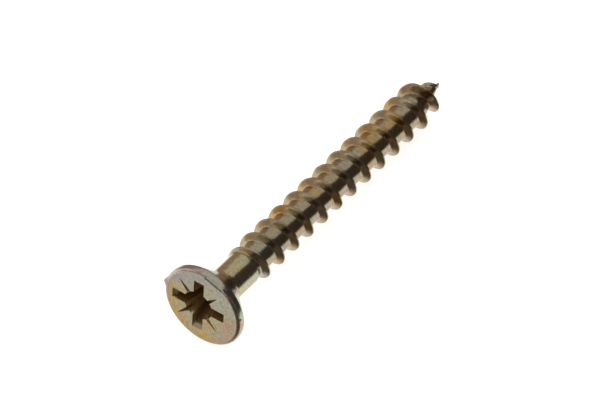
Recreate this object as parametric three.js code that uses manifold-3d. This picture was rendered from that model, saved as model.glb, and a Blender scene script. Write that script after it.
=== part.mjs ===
// Countersunk wood screw, 4.0 x 35 mm, cold-formed from one piece of steel wire. Millimetres, +Z up.
// The screw lies along Y: its head face looks towards -Y and its point towards +Y.
// The origin is on the screw's axis, halfway along its length.

import * as THREE from 'three';
import { mergeVertices } from 'three/addons/utils/BufferGeometryUtils.js';
import Module from 'manifold-3d';

const wasm = await Module();
wasm.setup();

// Whole screw
const screwLength = 35;
const roundSides = 32;

// Head
const headRadius = 4.0;
const rimRounding = 0.32;
const rimLand = 0.4;
const filletRadius = 0.5;
const arcSteps = 3;

// Shank, core and point
const shankRadius = 1.58;
const coreRadius = 1.4;
const shankEndY = 6.3;
const shankStep = 0.4;
const pointLength = 4.0;
const pointTipRadius = 0.05;

// Thread: single start, right-hand, coarse
const threadRadius = 2.0;
const threadPitch = 2.12;
const threadStartY = 5.4;
const runOutLength = 1.7;
const threadPointSlope = 0.67;
const threadEndGap = 0.3;
const crestHalfWidth = 0.08;
const rootHalfWidth = 0.77;
const buriedDepth = 0.2;
const stepsPerTurn = 16;
const crestReferenceY = 9.0;
const crestReferenceAngle = THREE.MathUtils.degToRad(58);

// Driver recess: a cross of four wings with a tick between each pair, struck a little off the head's centre
const recessTurn = THREE.MathUtils.degToRad(2.6);
const recessOffset = { x: -0.38, z: 0.05 };
const wingReach = 2.72;
const wingFloorReach = 1.57;
const wingWidth = 1.0;
const wingDepth = 2.3;
const hubRadius = 1.4;
const hubFloorRadius = 0.95;
const hubDepth = 2.5;
const hubConeDepth = 0.35;
const tickReach = 2.85;
const tickFloorReach = 1.2;
const tickWidth = 0.24;
const tickDepth = 0.8;
const cutAbove = 0.3;

const coneTopY = rimRounding + rimLand;
const coneEndY = coneTopY + headRadius - shankRadius;
const pointStartY = screwLength - pointLength;

// Heights along the screw are measured from the head face until the finished solid is centred.

function arc(centreX, centreY, radius, fromAngle, toAngle) {
  const points = [];
  for (let step = 0; step <= arcSteps; step += 1) {
    const angle = THREE.MathUtils.lerp(fromAngle, toAngle, step / arcSteps);
    points.push(new THREE.Vector2(centreX + radius * Math.cos(angle), centreY + radius * Math.sin(angle)));
  }
  return points;
}

// The blank: head, shank, core and point as one turned outline.
function blankGeometry() {
  const quarter = Math.PI / 2;
  const filletReach = filletRadius * Math.tan(Math.PI / 8);
  const outline = [
    new THREE.Vector2(0, 0),
    ...arc(headRadius - rimRounding, rimRounding, rimRounding, -quarter, 0),
    new THREE.Vector2(headRadius, coneTopY),
    ...arc(shankRadius + filletRadius, coneEndY + filletReach, filletRadius, -0.75 * Math.PI, -Math.PI),
    new THREE.Vector2(shankRadius, shankEndY),
    new THREE.Vector2(coreRadius, shankEndY + shankStep),
    new THREE.Vector2(coreRadius, pointStartY),
    new THREE.Vector2(pointTipRadius, screwLength),
    new THREE.Vector2(0, screwLength),
  ];
  return new THREE.LatheGeometry(outline, roundSides);
}

// Radius of the core under the thread, tapering to nothing along the point.
function coreRadiusAt(y) {
  const taper = THREE.MathUtils.clamp((screwLength - y) / pointLength, 0, 1);
  return THREE.MathUtils.lerp(pointTipRadius, coreRadius, taper);
}

// Radius of the crest: it rises out of the shank over the run-out and closes in on the point.
function crestRadiusAt(y) {
  const rise = THREE.MathUtils.smoothstep(y, threadStartY, threadStartY + runOutLength);
  const risen = THREE.MathUtils.lerp(coreRadius, threadRadius, rise);
  return Math.min(risen, threadPointSlope * (screwLength - y));
}

// The thread: a straight ridge of the thread's section, wrapped round the core as a right-hand helix.
function threadGeometry() {
  const section = new THREE.Shape([
    new THREE.Vector2(-1, 0),
    new THREE.Vector2(1, 0),
    new THREE.Vector2(crestHalfWidth / rootHalfWidth, 1),
    new THREE.Vector2(-crestHalfWidth / rootHalfWidth, 1),
  ]);
  const threadEndY = screwLength - threadEndGap;
  const turns = (threadEndY - threadStartY) / threadPitch;
  const steps = Math.ceil(turns * stepsPerTurn);
  const ridge = new THREE.ExtrudeGeometry(section, { depth: 1, steps, bevelEnabled: false });
  const position = ridge.attributes.position;
  for (let i = 0; i < position.count; i += 1) {
    const crestY = THREE.MathUtils.lerp(threadStartY, threadEndY, position.getZ(i));
    const crest = crestRadiusAt(crestY);
    const core = coreRadiusAt(crestY);
    const buried = (1 - buriedDepth) * core;
    const fullHeight = threadRadius - (1 - buriedDepth) * coreRadius;
    const widthScale = Math.min(1, (crest - buried) / fullHeight);
    const radius = THREE.MathUtils.lerp(buried, crest, position.getY(i));
    const turned = crestReferenceAngle - 2 * Math.PI * (crestY - crestReferenceY) / threadPitch;
    const y = crestY + position.getX(i) * rootHalfWidth * widthScale;
    position.setXYZ(i, radius * Math.cos(turned), y, radius * Math.sin(turned));
  }
  return ridge;
}

// A slot across the recess whose ends slope inwards with depth.
function slotGeometry(reach, floorReach, width, depth, turn) {
  const flare = cutAbove * (reach - floorReach) / depth;
  const profile = new THREE.Shape([
    new THREE.Vector2(-reach - flare, -cutAbove),
    new THREE.Vector2(reach + flare, -cutAbove),
    new THREE.Vector2(floorReach, depth),
    new THREE.Vector2(-floorReach, depth),
  ]);
  const slot = new THREE.ExtrudeGeometry(profile, { depth: width, bevelEnabled: false });
  slot.translate(0, 0, -width / 2);
  slot.rotateY(turn);
  slot.translate(recessOffset.x, 0, recessOffset.z);
  return slot;
}

// The round middle of the recess, which ends in a shallow cone.
function hubGeometry() {
  const outline = [
    new THREE.Vector2(0, -cutAbove),
    new THREE.Vector2(hubRadius, -cutAbove),
    new THREE.Vector2(hubFloorRadius, hubDepth),
    new THREE.Vector2(0, hubDepth + hubConeDepth),
  ];
  const hub = new THREE.LatheGeometry(outline, roundSides / 2);
  hub.translate(recessOffset.x, 0, recessOffset.z);
  return hub;
}

function toSolid(geometry) {
  const bare = geometry.clone();
  bare.deleteAttribute('normal');
  bare.deleteAttribute('uv');
  const merged = mergeVertices(bare, 1e-5);
  const mesh = new wasm.Mesh({
    numProp: 3,
    vertProperties: new Float32Array(merged.attributes.position.array),
    triVerts: new Uint32Array(merged.index.array),
  });
  return new wasm.Manifold(mesh);
}

function toGeometry(solid) {
  const mesh = solid.getMesh();
  const geometry = new THREE.BufferGeometry();
  geometry.setAttribute('position', new THREE.BufferAttribute(mesh.vertProperties, 3));
  geometry.setIndex(new THREE.BufferAttribute(mesh.triVerts, 1));
  geometry.computeVertexNormals();
  return geometry;
}

function recessSolid() {
  const quarter = Math.PI / 2;
  let recess = toSolid(hubGeometry());
  for (const side of [0, 1]) {
    const wingTurn = recessTurn + side * quarter;
    const tickTurn = wingTurn + quarter / 2;
    recess = recess.add(toSolid(slotGeometry(wingReach, wingFloorReach, wingWidth, wingDepth, wingTurn)));
    recess = recess.add(toSolid(slotGeometry(tickReach, tickFloorReach, tickWidth, tickDepth, tickTurn)));
  }
  return recess;
}

function woodScrew() {
  const screw = toSolid(blankGeometry()).add(toSolid(threadGeometry())).subtract(recessSolid());
  const yellowZinc = new THREE.MeshStandardMaterial({ color: 0xa39569, roughness: 0.35, metalness: 1 });
  const mesh = new THREE.Mesh(toGeometry(screw), yellowZinc);
  mesh.name = 'wood_screw';
  mesh.position.y = -screwLength / 2;
  return mesh;
}

const part = new THREE.Group();
part.add(woodScrew());

export default part;
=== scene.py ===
import math

import bmesh
import bpy
from mathutils import Matrix, Vector, noise


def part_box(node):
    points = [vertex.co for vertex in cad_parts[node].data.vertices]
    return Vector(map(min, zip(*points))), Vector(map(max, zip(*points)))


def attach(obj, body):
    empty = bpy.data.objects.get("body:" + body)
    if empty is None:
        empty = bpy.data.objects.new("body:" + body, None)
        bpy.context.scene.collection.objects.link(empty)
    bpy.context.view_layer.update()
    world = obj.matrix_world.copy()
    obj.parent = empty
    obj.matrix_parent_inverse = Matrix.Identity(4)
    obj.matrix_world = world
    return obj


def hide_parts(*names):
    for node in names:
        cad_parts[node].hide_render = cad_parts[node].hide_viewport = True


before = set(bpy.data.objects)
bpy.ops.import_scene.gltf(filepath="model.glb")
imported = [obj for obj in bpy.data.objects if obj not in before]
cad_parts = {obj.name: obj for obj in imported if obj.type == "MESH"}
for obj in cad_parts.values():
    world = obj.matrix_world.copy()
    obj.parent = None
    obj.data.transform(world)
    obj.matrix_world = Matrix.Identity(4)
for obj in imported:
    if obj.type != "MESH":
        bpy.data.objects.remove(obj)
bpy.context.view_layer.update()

mm = 0.001
mergeDistance = 0.0005
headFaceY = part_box("wood_screw")[0].y / mm  # the screw lies along Y, and its head face looks towards -Y

# shapes are drawn in mm with the head face at y = 0, and moved to headFaceY and scaled to metres at the end

camera = {
    "azimuth": 36.0,  # degrees round the screw from its head end
    "elevation": 43.39,
    "lens": 642.95,  # a very long lens, so the screw hardly tapers with distance
    "sensor": 36.0,
    "distance": 926.6,  # mm from the point it looks at
    "target": (-0.347, -2.692, 0.0),
    "clip": (0.05, 20.0),  # metres
}


def makeCamera():
    data = bpy.data.cameras.new("camera")
    data.lens = camera["lens"]
    data.sensor_width = camera["sensor"]
    data.clip_start, data.clip_end = camera["clip"]
    turn, rise = math.radians(camera["azimuth"]), math.radians(camera["elevation"])
    back = Vector((math.sin(turn) * math.cos(rise), -math.cos(turn) * math.cos(rise), math.sin(rise)))
    obj = bpy.data.objects.new("camera", data)
    obj.location = (Vector(camera["target"]) + back * camera["distance"]) * mm
    obj.rotation_euler = (-back).to_track_quat("-Z", "Y").to_euler()
    bpy.context.scene.collection.objects.link(obj)
    bpy.context.scene.camera = obj


makeCamera()
print("camera placed")


def smoothStep(low, high, value):
    t = min(max((value - low) / (high - low), 0.0), 1.0)
    return t * t * (3 - 2 * t)


def objectFrom(bm, name):
    mesh = bpy.data.meshes.new(name)
    bm.to_mesh(mesh)
    bm.free()
    obj = bpy.data.objects.new(name, mesh)
    bpy.context.scene.collection.objects.link(obj)
    return obj


head = {
    "radius": 4.0,
    "rimRounding": 0.32,
    "rimLand": 0.4,  # straight edge between the face's rounding and the cone
    "landRounding": 0.1,
    "fillet": 0.3,  # how far the hollow under the head reaches along the cone and the shank
    "steps": 144,
}
shank = {
    "radius": 1.58,
    "joinY": 5.0,
    "joinGap": 0.1,  # the head's body and the thread's tube are bridged across this
}


def roundRing(bm, radius, y, reach, segments):
    ring = [e for e in bm.edges
            if all(abs(v.co.y - y) < 0.001 and abs(math.hypot(v.co.x, v.co.z) - radius) < 0.01 for v in e.verts)]
    bmesh.ops.bevel(bm, geom=ring, offset=reach, segments=segments, profile=0.5, affect='EDGES',
                    offset_type='OFFSET', material=-1, clamp_overlap=True)


def headBody():
    bm = bmesh.new()
    coneTop = head["rimRounding"] + head["rimLand"]
    coneEnd = coneTop + head["radius"] - shank["radius"]  # the cone's sides meet at 90 degrees
    outline = [(head["radius"], 0), (head["radius"], coneTop), (shank["radius"], coneEnd),
               (shank["radius"], shank["joinY"])]
    verts = [bm.verts.new((x, y, 0)) for x, y in outline]
    edges = [bm.edges.new(pair) for pair in zip(verts, verts[1:])]
    bmesh.ops.spin(bm, geom=verts + edges, cent=(0, 0, 0), axis=(0, 1, 0), dvec=(0, 0, 0),
                   angle=2 * math.pi, steps=head["steps"], use_merge=True, use_duplicate=False)
    bmesh.ops.remove_doubles(bm, verts=bm.verts, dist=0.002)
    bmesh.ops.holes_fill(bm, edges=[e for e in bm.edges if e.is_boundary], sides=0)
    bmesh.ops.recalc_face_normals(bm, faces=bm.faces)
    roundRing(bm, head["radius"], 0, head["rimRounding"], 6)
    roundRing(bm, head["radius"], coneTop, head["landRounding"], 3)
    roundRing(bm, shank["radius"], coneEnd, head["fillet"], 6)
    return bm


thread = {
    "pitch": 2.12,
    "crestRadius": 2.0,
    "coreRadius": 1.4,
    # half of one pitch of the section: mm from the crest, and how much of the way from core to crest
    "side": [(0.0, 1.0), (0.045, 1.0), (0.075, 0.97), (0.105, 0.9), (0.16, 0.72), (0.22, 0.52), (0.28, 0.33),
             (0.33, 0.18), (0.375, 0.08), (0.43, 0.02), (0.5, 0.0), (0.66, 0.0), (0.86, 0.0)],
    "stepsPerTurn": 72,
    "crestAtY": 8.96,  # here the crest passes crestAngle, counted from +X towards +Z
    "crestAngle": 58.4,
    "turnsBefore": 3,  # turns rolled ahead of crestAtY, of which the shank keeps none
    "startY": 5.4,
    "runOut": 1.7,
    "coreStart": 6.3,
    "coreStep": 0.4,
    "endY": 35.0,
    "pointLength": 4.0,
    "tipRadius": 0.05,
    "taper": (0.6, 0.475),  # crest radius at the end of the point, and its growth per mm back from there
    "tipTaper": 0.78,  # steeper growth over the last fraction of a mm
    "tipCut": 0.02,  # the point ends in a flat this far short of endY
    "rippleSize": 1.1,  # mm between the small waves that the rolling left
    "ripple": 0.02,
    "rippleInRoot": 0.4,  # share of the ripple that the root has, where the crest has all of it and this too
    "rippleFade": (0.1, 1.0, 1.5),  # mm: the ripple starts and is full behind the join, and fades over the point
}


def coreAt(y):
    halfStep = thread["coreStep"] / 2
    step = smoothStep(thread["coreStart"] - halfStep, thread["coreStart"] + halfStep, y)
    body = shank["radius"] - (shank["radius"] - thread["coreRadius"]) * step
    left = max(thread["endY"] - y, 0.0)
    tip = thread["tipRadius"] + (thread["coreRadius"] - thread["tipRadius"]) * left / thread["pointLength"]
    return min(body, tip)


def crestAt(y):
    rise = smoothStep(thread["startY"], thread["startY"] + thread["runOut"], y)
    body = shank["radius"] + (thread["crestRadius"] - shank["radius"]) * rise
    left = max(thread["endY"] - y, 0.0)
    end, growth = thread["taper"]
    return max(min(body, end + growth * left, thread["tipTaper"] * left), coreAt(y))


def rippleAt(place):
    waves = noise.noise(place / thread["rippleSize"]) + 0.5 * noise.noise(place / thread["rippleSize"] * 2.7)
    start, full, end = thread["rippleFade"]
    reach = smoothStep(shank["joinY"] + start, shank["joinY"] + full, place.y)
    return waves * reach * smoothStep(0, end, thread["endY"] - place.y) * thread["ripple"]


def threadBody():
    bm = bmesh.new()
    half, side = thread["pitch"] / 2, thread["side"]
    section = [(-half, 0.0)] + [(-d, h) for d, h in reversed(side)] + side[1:] + [(half, 0.0)]
    start = thread["crestAtY"] + thread["pitch"] * thread["crestAngle"] / 360
    start -= thread["pitch"] * thread["turnsBefore"]
    depth = thread["crestRadius"] - thread["coreRadius"]
    verts = [bm.verts.new((thread["coreRadius"] + depth * h, start + d, 0)) for d, h in section]
    edges = [bm.edges.new(pair) for pair in zip(verts, verts[1:])]
    bmesh.ops.spin(bm, geom=verts + edges, cent=(0, 0, 0), axis=(0, 1, 0),
                   dvec=(0, thread["pitch"] / thread["stepsPerTurn"], 0), angle=2 * math.pi,
                   steps=thread["stepsPerTurn"], use_merge=False, use_duplicate=False)
    oneTurn = list(bm.verts) + list(bm.edges) + list(bm.faces)
    for turn in range(1, math.ceil((thread["endY"] - start) / thread["pitch"]) + 1):
        copy = bmesh.ops.duplicate(bm, geom=oneTurn)["geom"]
        bmesh.ops.translate(bm, verts=[v for v in copy if isinstance(v, bmesh.types.BMVert)],
                            vec=(0, thread["pitch"] * turn, 0))
    bmesh.ops.remove_doubles(bm, verts=bm.verts, dist=0.008)
    for v in bm.verts:  # the even thread is fitted to the run-out, the core's step and the point
        radius = math.hypot(v.co.x, v.co.z)
        height = (radius - thread["coreRadius"]) / depth
        core, crest = coreAt(v.co.y), crestAt(v.co.y)
        wanted = core + (crest - core) * height + rippleAt(v.co) * (thread["rippleInRoot"] + height)
        v.co.x *= wanted / radius
        v.co.z *= wanted / radius
    for y, outer, inner in ((shank["joinY"] + shank["joinGap"], False, True),
                            (thread["endY"] - thread["tipCut"], True, False)):
        geom = list(bm.verts) + list(bm.edges) + list(bm.faces)
        bmesh.ops.bisect_plane(bm, geom=geom, dist=mergeDistance, plane_co=(0, y, 0), plane_no=(0, 1, 0),
                               clear_outer=outer, clear_inner=inner)
    bmesh.ops.delete(bm, geom=[v for v in bm.verts if not v.link_faces], context='VERTS')
    return bm


recess = {
    "centre": (-0.38, 0.05),
    "turn": 2.6,  # degrees clockwise seen from the front
    # each cut tapers into the head through levels of (depth, half length, half width)
    "wing": [(0.0, 2.72, 0.52), (0.3, 2.44, 0.51), (0.8, 2.28, 0.5), (2.3, 1.57, 0.46)],
    "tick": [(0.0, 2.9, 0.36), (0.85, 1.2, 0.26)],
    "hub": [(0.0, 1.46, 1.46), (2.5, 0.95, 0.95)],
    "lip": 0.09,  # rounded edge round the recess
    "above": 0.3,  # the cutting tools stand this far out of the face
}


def recessTool(levels, corners, firstCorner, quarter):
    # an outline extruded from level to level: four corners for a wing, a long diamond for a tick, a ring for the hub
    (topDepth, topLong, topWide), (nextDepth, nextLong, nextWide) = levels[:2]
    above = recess["above"] / (nextDepth - topDepth)
    top = (topDepth - recess["above"], topLong + (topLong - nextLong) * above, topWide + (topWide - nextWide) * above)
    bm = bmesh.new()
    bmesh.ops.create_circle(bm, cap_ends=True, segments=corners, radius=1.0)
    bmesh.ops.rotate(bm, verts=bm.verts, cent=(0, 0, 0), matrix=Matrix.Rotation(math.radians(-90), 3, 'X')
                     @ Matrix.Rotation(math.radians(firstCorner), 3, 'Z'))
    reach = max(v.co.x for v in bm.verts)
    bmesh.ops.scale(bm, verts=bm.verts, vec=(top[1] / reach, 1, top[2] / reach))
    bmesh.ops.translate(bm, verts=bm.verts, vec=(0, top[0], 0))
    last, ends = top, bm.faces[:]
    for level in levels[1:]:
        far = bmesh.ops.extrude_face_region(bm, geom=ends)["geom"]
        if last != top:
            bmesh.ops.delete(bm, geom=ends, context='FACES_ONLY')  # the level above is open inside
        verts = [v for v in far if isinstance(v, bmesh.types.BMVert)]
        ends = [f for f in far if isinstance(f, bmesh.types.BMFace)]
        bmesh.ops.scale(bm, verts=verts, vec=(level[1] / last[1], 1, level[2] / last[2]))
        bmesh.ops.translate(bm, verts=verts, vec=(0, level[0] - last[0], 0))
        last = level
    bmesh.ops.rotate(bm, verts=bm.verts, cent=(0, 0, 0),
                     matrix=Matrix.Rotation(math.radians(quarter + recess["turn"]), 3, 'Y'))
    bmesh.ops.translate(bm, verts=bm.verts, vec=(recess["centre"][0], 0, recess["centre"][1]))
    bmesh.ops.recalc_face_normals(bm, faces=bm.faces)
    return bm


def recessTools():
    tools = [recessTool(recess["hub"], 48, 0, 0)]
    for quarter in (0, 90):
        tools.append(recessTool(recess["wing"], 4, 45, quarter))
        tools.append(recessTool(recess["tick"], 4, 0, quarter + 45))
    return tools


rimMarks = {  # dents from handling; angles are counted from +X towards +Z
    "burr": {"angle": 166, "height": 0.24, "length": 0.75, "depth": 0.6, "droop": 0.35, "behind": 0.9},
    "facet": {"angle": 70, "out": 3.48, "step": 0.1, "rise": 0.12, "reach": (-0.95, 0.95), "beyond": 4.3},
    "nicks": [{"angle": 8, "y": 0.2, "size": 0.16}, {"angle": -33, "y": 0.03, "size": 0.15}],
}


def rimTools():
    facet = rimMarks["facet"]
    bm = bmesh.new()
    low, high = facet["reach"]
    outline = [(facet["out"], -recess["above"]), (facet["out"], facet["step"]),
               (facet["beyond"], facet["step"] + facet["rise"]), (facet["beyond"], -recess["above"])]
    face = bm.faces.new([bm.verts.new((x, y, low)) for x, y in outline])
    far = bmesh.ops.extrude_face_region(bm, geom=[face])["geom"]
    bmesh.ops.translate(bm, verts=[v for v in far if isinstance(v, bmesh.types.BMVert)], vec=(0, 0, high - low))
    bmesh.ops.rotate(bm, verts=bm.verts, cent=(0, 0, 0),
                     matrix=Matrix.Rotation(-math.radians(facet["angle"]), 3, 'Y'))
    bmesh.ops.recalc_face_normals(bm, faces=bm.faces)
    tools = [bm]
    for nick in rimMarks["nicks"]:
        bm = bmesh.new()
        bmesh.ops.create_icosphere(bm, subdivisions=2, radius=nick["size"])
        turn = math.radians(nick["angle"])
        bmesh.ops.translate(bm, verts=bm.verts,
                            vec=(head["radius"] * math.cos(turn), nick["y"], head["radius"] * math.sin(turn)))
        tools.append(bm)
    return tools


def raiseBurr(bm):
    burr = rimMarks["burr"]
    turn = math.radians(burr["angle"])
    out = Vector((math.cos(turn), 0, math.sin(turn)))
    rimInside, rimOutside = head["radius"] - head["rimRounding"] + 0.03, head["radius"] - 0.1
    for v in bm.verts:
        rim = smoothStep(rimInside, rimOutside, math.hypot(v.co.x, v.co.z))
        if rim > 0 and v.co.y < burr["behind"]:
            aside = (v.co - out * head["radius"] - Vector((0, v.co.y, 0))).length / burr["length"]
            along = max(v.co.y - 0.1, 0) / burr["depth"]
            fade = math.exp(-(aside * 2) ** 2 - along ** 2 * 3)
            v.co += (out - Vector((0, burr["droop"], 0))) * rim * burr["height"] * fade


def cut(obj, tools):
    for tool in tools:
        cutter = objectFrom(tool, "cutter")
        modifier = obj.modifiers.new("cut", 'BOOLEAN')
        modifier.operation = 'DIFFERENCE'
        modifier.solver = 'EXACT'
        modifier.object = cutter
        bpy.context.view_layer.update()
        result = bpy.data.meshes.new_from_object(obj.evaluated_get(bpy.context.evaluated_depsgraph_get()))
        obj.modifiers.clear()
        # the solver leaves its faces in any order, so they are sorted across the head to give one result each run
        bm = bmesh.new()
        bm.from_mesh(result)
        across = Vector((1.0, 0.37, 0.71))
        bm.verts.sort(key=lambda v: v.co.dot(across))
        bm.edges.sort(key=lambda e: (e.verts[0].co + e.verts[1].co).dot(across))
        bm.faces.sort(key=lambda f: f.calc_center_median().dot(across))
        bm.to_mesh(result)
        bm.free()
        obj.data = result
        bpy.data.objects.remove(cutter)


def headWithRecess():
    blank = objectFrom(headBody(), "headBlank")
    cut(blank, recessTools() + rimTools())
    bm = bmesh.new()
    bm.from_mesh(blank.data)
    bpy.data.objects.remove(blank)
    bmesh.ops.remove_doubles(bm, verts=bm.verts, dist=mergeDistance)
    inner = head["radius"] - head["rimRounding"] - 0.02
    lip = [e for e in bm.edges if len(e.link_faces) == 2
           and all(abs(v.co.y) < 0.001 and math.hypot(v.co.x, v.co.z) < inner for v in e.verts)
           and any(abs(f.normal.y) < 0.98 for f in e.link_faces)]
    bmesh.ops.bevel(bm, geom=lip, offset=recess["lip"], segments=2, profile=0.5, affect='EDGES',
                    offset_type='OFFSET', material=-1, clamp_overlap=True)
    bmesh.ops.remove_doubles(bm, verts=bm.verts, dist=mergeDistance)
    raiseBurr(bm)
    print("head and recess cut")
    return bm


def joined(parts):
    bm = bmesh.new()
    for part in parts:
        mesh = bpy.data.meshes.new("part")
        part.to_mesh(mesh)
        bm.from_mesh(mesh)
        part.free()
        bpy.data.meshes.remove(mesh)
    return bm


screw = {
    "faceFlat": 0.9999,  # a face that looks this squarely along -Y is the head's flat face
    "sharpEdge": 32,  # degrees between faces, past which their edge stays crisp
}


def makeScrew():
    bm = joined([headWithRecess(), threadBody()])
    # the head's body ends in a flat cap that goes, so that the thread's tube can take its place
    cap = [f for f in bm.faces if all(abs(v.co.y - shank["joinY"]) < 0.001 for v in f.verts)]
    bmesh.ops.delete(bm, geom=cap, context='FACES')
    rings = [e for e in bm.edges if e.is_boundary and all(v.co.y < thread["startY"] for v in e.verts)]
    bmesh.ops.bridge_loops(bm, edges=rings)
    point = [e for e in bm.edges if e.is_boundary and all(v.co.y > thread["startY"] for v in e.verts)]
    bmesh.ops.holes_fill(bm, edges=point, sides=0)
    bmesh.ops.remove_doubles(bm, verts=bm.verts, dist=mergeDistance)
    bmesh.ops.recalc_face_normals(bm, faces=bm.faces)
    bmesh.ops.translate(bm, verts=bm.verts, vec=(0, headFaceY, 0))
    bmesh.ops.scale(bm, verts=bm.verts, vec=(mm, mm, mm))
    for f in bm.faces:
        f.smooth = True
    sharp = math.radians(screw["sharpEdge"])
    for e in bm.edges:
        flat = any(f.normal.y < -screw["faceFlat"] for f in e.link_faces)
        e.smooth = not (flat or (len(e.link_faces) == 2 and e.calc_face_angle(0) > sharp))
    obj = objectFrom(bm, "screw")
    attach(obj, "root")
    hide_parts("wood_screw")
    return obj


screwBody = makeScrew()
print("screw built")


def linear(colour):  # an sRGB hex colour as the shaders take it
    values = [int(colour[i:i + 2], 16) / 255 for i in (1, 3, 5)]
    return [v / 12.92 if v <= 0.04045 else ((v + 0.055) / 1.055) ** 2.4 for v in values] + [1.0]


def node(tree, kind, inputs=(), ramp=(), **settings):  # ramp holds (position, colour) for a node that has one
    made = tree.nodes.new(kind)
    for name, value in settings.items():
        setattr(made, name, value)
    for name, value in dict(inputs).items():
        if isinstance(value, bpy.types.NodeSocket):
            tree.links.new(value, made.inputs[name])
        else:
            made.inputs[name].default_value = value
    while ramp and len(made.color_ramp.elements) < len(ramp):
        made.color_ramp.elements.new(0.5)
    for element, (position, colour) in zip(made.color_ramp.elements if ramp else (), ramp):
        element.position, element.color = position, colour
    return made


finish = {
    "film": [(0.28, "#cdb06c"), (0.39, "#c9b688"), (0.50, "#c4bb9f"), (0.62, "#bcbda4"), (0.76, "#bfbead")],
    "blush": [(0.45, "#cda594"), (0.55, "#b7abb8")],  # pink at one end of the tint, lavender at the other
    "blushShare": [(0.26, 0.5), (0.42, 0.0), (0.56, 0.0), (0.74, 0.6)],
    "bloomSize": 2.6,  # mm across one patch of the film's colour
    "tintSize": 1.7,
    "drift": 0.042,  # how fast the film changes across the head, per mm
    "threadGold": 0.02,  # how much further towards gold the film is on the thread
    "threadTone": "#ece2e0",  # the thread is drawn a little darker and browner than the head
    "speckleSize": 0.28,  # mm: the plating's grain is some hundredths of a mm, and is drawn this coarse to show
    "speckle": [(0.36, "#ece5dc"), (0.6, "#ffffff")],
    "waveSize": 0.36,  # mm between the shallow waves that soften what the plating mirrors
    "waveHeight": 0.012,
    "recessShadeTone": "#8a6c3a",  # painted shade: a darker, duller tone that stands in for the shade down in the recess
    "recessMetal": 0.35,
    "recessRoughness": 0.5,
    "recessCone": (3.4, 0.55),  # mm: the recess lies inside this radius, which shrinks by so much per mm of depth
    "roughness": 0.19,
}


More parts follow.
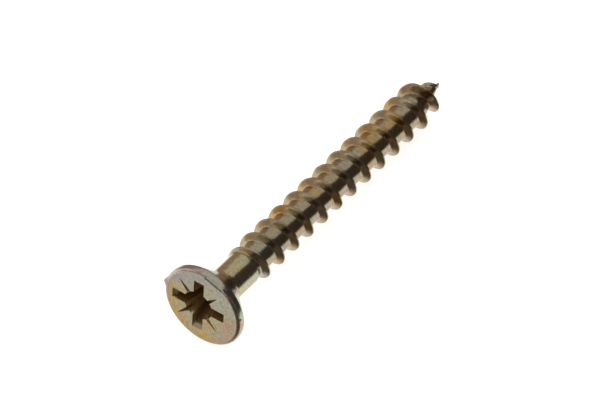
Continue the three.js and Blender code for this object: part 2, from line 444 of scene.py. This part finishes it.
def zincMaterial():
    # zinc plated, then yellow passivated: a thin film that shifts from gold through khaki to a green grey,
    # with lavender and pink where it is thickest
    material = bpy.data.materials.new("yellow_passivated_zinc")
    material.use_nodes = True
    tree = material.node_tree
    shader = tree.nodes["Principled BSDF"]
    place = node(tree, "ShaderNodeTexCoord").outputs["Object"]

    patterns = {}
    for name, size, detail, offset in (("film", finish["bloomSize"], 4.0, (0.0, 0.0, 0.0)),
                                       ("tint", finish["tintSize"], 3.0, (0.01, 0.02, 0.005)),
                                       ("speckle", finish["speckleSize"], 2.0, (0.007, 0.004, 0.001)),
                                       ("waves", finish["waveSize"], 2.0, (0.003, 0.001, 0.002))):
        moved = node(tree, "ShaderNodeMapping", {"Vector": place, "Location": offset}).outputs["Vector"]
        patterns[name] = node(tree, "ShaderNodeTexNoise",
                              {"Vector": moved, "Scale": 1 / (size * mm), "Detail": detail,
                               "Roughness": 0.6, "Distortion": 0.5}).outputs["Fac"]

    apart = node(tree, "ShaderNodeSeparateXYZ", {"Vector": place})
    depth = node(tree, "ShaderNodeMath", {0: apart.outputs["Y"], 1: 1 / mm, 2: -headFaceY},
                 operation='MULTIPLY_ADD').outputs[0]  # mm behind the head face
    zones = {}
    for name, start, full in (("head", 2.5, 1.0), ("thread", 5.0, 9.0),
                              ("belowFace", 0.06, 0.5), ("aboveRecessFloor", 2.75, 2.7)):
        zones[name] = node(tree, "ShaderNodeMapRange", {"Value": depth, "From Min": start, "From Max": full},
                           interpolation_type='SMOOTHSTEP').outputs["Result"]

    drift = node(tree, "ShaderNodeMath", {0: zones["head"], 1: finish["drift"]}, operation='MULTIPLY').outputs[0]
    for name, across in (("film", (1 / mm, 0, 1 / mm)), ("tint", (-1 / mm, 0, 1 / mm))):
        way = node(tree, "ShaderNodeVectorMath", {0: place, 1: across}, operation='DOT_PRODUCT').outputs["Value"]
        patterns[name] = node(tree, "ShaderNodeMath", {0: way, 1: drift, 2: patterns[name]},
                              operation='MULTIPLY_ADD').outputs[0]
    film = node(tree, "ShaderNodeMath", {0: zones["thread"], 1: -finish["threadGold"], 2: patterns["film"]},
                operation='MULTIPLY_ADD').outputs[0]

    colours = {}
    for name, value in (("film", film), ("blush", patterns["tint"]), ("speckle", patterns["speckle"])):
        colours[name] = node(tree, "ShaderNodeValToRGB", {"Fac": value},
                             ramp=[(position, linear(colour)) for position, colour in finish[name]]).outputs["Color"]
    blushShare = node(tree, "ShaderNodeValToRGB", {"Fac": patterns["tint"]},
                      ramp=[(position, (share, share, share, 1.0)) for position, share in finish["blushShare"]])

    flat = node(tree, "ShaderNodeVectorMath", {0: place, 1: (1 / mm, 0, 1 / mm)}, operation='MULTIPLY')
    radius = node(tree, "ShaderNodeVectorMath", {0: flat.outputs["Vector"]}, operation='LENGTH').outputs["Value"]
    # painted shade: the recess is darkened with depth, in place of the shade that falls down in it
    reach, shrink = finish["recessCone"]
    edge = node(tree, "ShaderNodeMath", {0: depth, 1: shrink, 2: radius}, operation='MULTIPLY_ADD').outputs[0]
    paintedRecessShade = node(tree, "ShaderNodeMapRange", {"Value": edge, "From Min": reach + 0.05, "From Max": reach - 0.05},
                interpolation_type='SMOOTHSTEP').outputs["Result"]
    for zone in ("aboveRecessFloor", "belowFace"):
        paintedRecessShade = node(tree, "ShaderNodeMath", {0: paintedRecessShade, 1: zones[zone]}, operation='MULTIPLY').outputs[0]

    colour = colours["film"]
    for share, over, blend in ((blushShare.outputs["Color"], colours["blush"], 'MIX'),
                               (paintedRecessShade, linear(finish["recessShadeTone"]), 'MIX'),
                               (1.0, colours["speckle"], 'MULTIPLY'),
                               (zones["thread"], linear(finish["threadTone"]), 'MULTIPLY')):
        colour = node(tree, "ShaderNodeMix", {0: share, 6: colour, 7: over}, data_type='RGBA',
                      blend_type=blend).outputs[2]
    tree.links.new(colour, shader.inputs["Base Color"])
    # inside the painted recess shade the zinc is also less metallic and rougher, so it reads darker
    for socket, plain, inRecess in (("Metallic", 1.0, finish["recessMetal"]),
                                    ("Roughness", finish["roughness"], finish["recessRoughness"])):
        varied = node(tree, "ShaderNodeMapRange", {"Value": paintedRecessShade, "To Min": plain, "To Max": inRecess})
        tree.links.new(varied.outputs["Result"], shader.inputs[socket])
    bump = node(tree, "ShaderNodeBump", {"Height": patterns["waves"], "Distance": finish["waveHeight"] * mm,
                                         "Strength": 1.0})
    tree.links.new(bump.outputs["Normal"], shader.inputs["Normal"])
    return material


screwBody.data.materials.append(zincMaterial())
print("material ready")


studio = {
    "panels": {
        # azimuth from +Y towards +X, elevation, full inside this angle, nothing outside this one, strength, colour
        "ceiling": (-58, 78, 43.5, 49.5, 0.64, "#fffdf6"),
        "frontFill": (-155, 14, 20, 54, 0.48, "#ffeee0"),
        "frontPanel": (180, 2, 9, 27, 1.05, "#fffaf0"),
        "backWall": (-42, 15, 24, 50, 0.4, "#ffdcc6"),
        "leftWall": (-113, 12, 6, 38, 0.95, "#fff4e8"),
        "windowBack": (-60, -30, 10, 24, 1.3, "#fffaf4"),
        "windowFront": (-100, -22, 14, 36, 1.25, "#fffdf6"),
        "dimSide": (115, 12, 12, 40, 0.16, "#ffe4d2"),
        "table": (0, -90, 63, 81, 1.0, "#fffefc"),
        "tableGlint": (50, -33, 8, 22, 1.2, "#eefaff"),
        "shade": (150, -38, 22, 60, 0.13, "#ffeada"),  # leaves only this share of what the panels above give
    },
    "darkest": (0.06, "#ffebe6"),  # the room where no panel is
    "backdrop": 1.1,  # the white that the camera sees
}


def studioWorld():
    # soft panels round the screw, which its bright zinc mirrors
    world = bpy.data.worlds.new("studio")
    bpy.context.scene.world = world
    world.use_nodes = True
    tree = world.node_tree
    tree.nodes.clear()
    way = node(tree, "ShaderNodeTexCoord").outputs["Generated"]
    total = (0.0, 0.0, 0.0)
    for name, (azimuth, elevation, inner, outer, strength, colour) in studio["panels"].items():
        turn, rise = math.radians(azimuth), math.radians(elevation)
        centre = (math.sin(turn) * math.cos(rise), math.cos(turn) * math.cos(rise), math.sin(rise))
        facing = node(tree, "ShaderNodeVectorMath", {0: way, 1: centre}, operation='DOT_PRODUCT').outputs["Value"]
        share = node(tree, "ShaderNodeMapRange", {"Value": facing, "From Min": math.cos(math.radians(outer)),
                                                  "From Max": math.cos(math.radians(inner))},
                     interpolation_type='SMOOTHSTEP').outputs["Result"]
        glow = [c * strength for c in linear(colour)[:3]]
        if name == "shade":
            lit = node(tree, "ShaderNodeMix", {0: share, 4: (1, 1, 1), 5: glow}, data_type='VECTOR').outputs[1]
            joining = 'MULTIPLY'
        else:
            lit = node(tree, "ShaderNodeVectorMath", {0: share, 1: glow}, operation='MULTIPLY').outputs["Vector"]
            joining = 'MAXIMUM'
        total = node(tree, "ShaderNodeVectorMath", {0: total, 1: lit}, operation=joining).outputs["Vector"]
    least, leastColour = studio["darkest"]
    total = node(tree, "ShaderNodeVectorMath", {0: total, 1: [c * least for c in linear(leastColour)[:3]]},
                 operation='MAXIMUM').outputs["Vector"]
    seen = node(tree, "ShaderNodeLightPath").outputs["Is Camera Ray"]
    lit = node(tree, "ShaderNodeBackground", {"Color": total, "Strength": 1.0})
    pale = node(tree, "ShaderNodeBackground", {"Color": (1, 1, 1, 1), "Strength": studio["backdrop"]})
    mixed = node(tree, "ShaderNodeMixShader", {0: seen, 1: lit.outputs[0], 2: pale.outputs[0]})
    node(tree, "ShaderNodeOutputWorld", {"Surface": mixed.outputs[0]})


table = {
    "size": 6.0,  # metres across
    "colour": 0.8,
    "roughness": 0.9,
    "glow": 0.85,
    # the screw rests on its rim and on its thread near the point
    "rimY": -17.2,
    "rimDrop": 4.02,
    "restSpan": 31.2,  # mm from the rim to where the thread touches
    "restDrop": 2.0,  # how much nearer to the axis the thread touches than the rim
}


def makeTable():
    # matt white laminate: even and pale, with no reflections of its own
    material = bpy.data.materials.new("matt_white_laminate")
    material.use_nodes = True
    shader = material.node_tree.nodes["Principled BSDF"]
    shader.inputs["Base Color"].default_value = (table["colour"], table["colour"], table["colour"], 1)
    shader.inputs["Roughness"].default_value = table["roughness"]
    shader.inputs["Specular IOR Level"].default_value = 0.0
    shader.inputs["Emission Color"].default_value = (1, 1, 1, 1)
    shader.inputs["Emission Strength"].default_value = table["glow"]
    bm = bmesh.new()
    bmesh.ops.create_grid(bm, x_segments=2, y_segments=2, size=table["size"] / 2)
    tilt = math.atan2(table["restDrop"], table["restSpan"])
    bmesh.ops.rotate(bm, verts=bm.verts, cent=(0, 0, 0), matrix=Matrix.Rotation(tilt, 3, 'X'))
    bmesh.ops.translate(bm, verts=bm.verts,
                        vec=(0, 0, (-table["rimY"] * math.tan(tilt) - table["rimDrop"]) * mm))
    floor = objectFrom(bm, "floor")
    floor.data.materials.append(material)
    floor.visible_glossy = False  # the screw mirrors the studio's soft panels, and not the bare table


studioWorld()
makeTable()
bpy.context.scene.view_settings.view_transform = 'Standard'
print("table and light ready")
